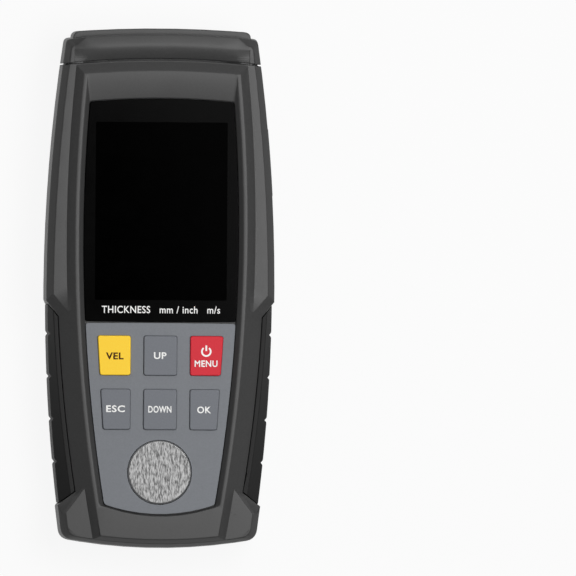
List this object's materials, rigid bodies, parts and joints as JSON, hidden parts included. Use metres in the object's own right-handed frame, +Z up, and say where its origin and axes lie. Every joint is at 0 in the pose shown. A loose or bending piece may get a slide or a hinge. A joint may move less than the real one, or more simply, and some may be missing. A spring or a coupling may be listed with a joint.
{
  "type": "ultrasonic thickness gauge",
  "caption": "Handheld ultrasonic thickness gauge with colour display window, sprung keys, steel test block, rubber side grips, twin probe sockets and a covered charging port.",
  "frame": {"origin": "centre of the flat back, with the gauge lying on it", "axes": "+X to the reader's right across the width, +Y along the length towards the probe sockets, +Z up out of the display face"},
  "size_m": [0.0792, 0.178, 0.034],
  "materials": {
    "housing": "fine moulded texture, dark grey",
    "grip": "matte black soft rubber",
    "seal": "black",
    "screw": "zinc plated",
    "lens": "clear hard-coated acrylic over a black border print",
    "lcd": "unlit display",
    "panel": "satin mid grey",
    "key_yellow": "satin yellow",
    "key_grey": "satin grey",
    "key_red": "satin red",
    "silicone": "translucent grey silicone",
    "test_steel": "coarsely brushed",
    "board": "green solder mask",
    "socket": "turned and plated",
    "insulator": "white",
    "contact": "gold plated",
    "usb": "plated sheet",
    "port_rubber": "matte black soft rubber",
    "battery": "shrink sleeve",
    "connector": "black"
  },
  "bodies": {
    "gauge": {"front_housing": "housing", "rear_housing": "housing", "top_cap": "housing", "left_grip": "grip", "right_grip": "grip", "housing_seal": "seal", "housing_screws": "screw", "display_window": "lens", "window_tape": "seal", "lcd_module": "lcd", "keypad_panel": "panel", "keypad_mat": "silicone", "test_block": "test_steel", "main_board": "board", "board_screws": "screw", "socket_left": "socket", "socket_right": "socket", "socket_insulators": "insulator", "socket_contacts": "contact", "socket_nuts": "socket", "usb_socket": "usb", "battery_pack": "battery", "battery_connector": "connector", "battery_cover": "housing", "battery_cover_screws": "screw"},
    "key_vel": {"key_vel": "key_yellow"},
    "key_up": {"key_up": "key_grey"},
    "key_menu": {"key_menu": "key_red"},
    "key_esc": {"key_esc": "key_grey"},
    "key_down": {"key_down": "key_grey"},
    "key_ok": {"key_ok": "key_grey"},
    "usb_cover": {"usb_cover": "port_rubber"}
  },
  "joints": [
    {"name": "key_vel_press", "type": "slide", "parent": "gauge", "child": "key_vel", "axis": [0, 0, -1], "range_m": [0, 0.001], "stiffness_N_per_m": 400, "deforming": ["keypad_mat"]},
    {"name": "key_up_press", "type": "slide", "parent": "gauge", "child": "key_up", "axis": [0, 0, -1], "range_m": [0, 0.001], "stiffness_N_per_m": 400, "deforming": ["keypad_mat"]},
    {"name": "key_menu_press", "type": "slide", "parent": "gauge", "child": "key_menu", "axis": [0, 0, -1], "range_m": [0, 0.001], "stiffness_N_per_m": 400, "deforming": ["keypad_mat"]},
    {"name": "key_esc_press", "type": "slide", "parent": "gauge", "child": "key_esc", "axis": [0, 0, -1], "range_m": [0, 0.001], "stiffness_N_per_m": 400, "deforming": ["keypad_mat"]},
    {"name": "key_down_press", "type": "slide", "parent": "gauge", "child": "key_down", "axis": [0, 0, -1], "range_m": [0, 0.001], "stiffness_N_per_m": 400, "deforming": ["keypad_mat"]},
    {"name": "key_ok_press", "type": "slide", "parent": "gauge", "child": "key_ok", "axis": [0, 0, -1], "range_m": [0, 0.001], "stiffness_N_per_m": 400, "deforming": ["keypad_mat"]},
    {"name": "usb_cover_hinge", "type": "hinge", "parent": "gauge", "child": "usb_cover", "pos_m": [0.03844, 0.03195, 0.0222], "axis": [0, 0, -1], "range_deg": [0, 95]}
  ]
}
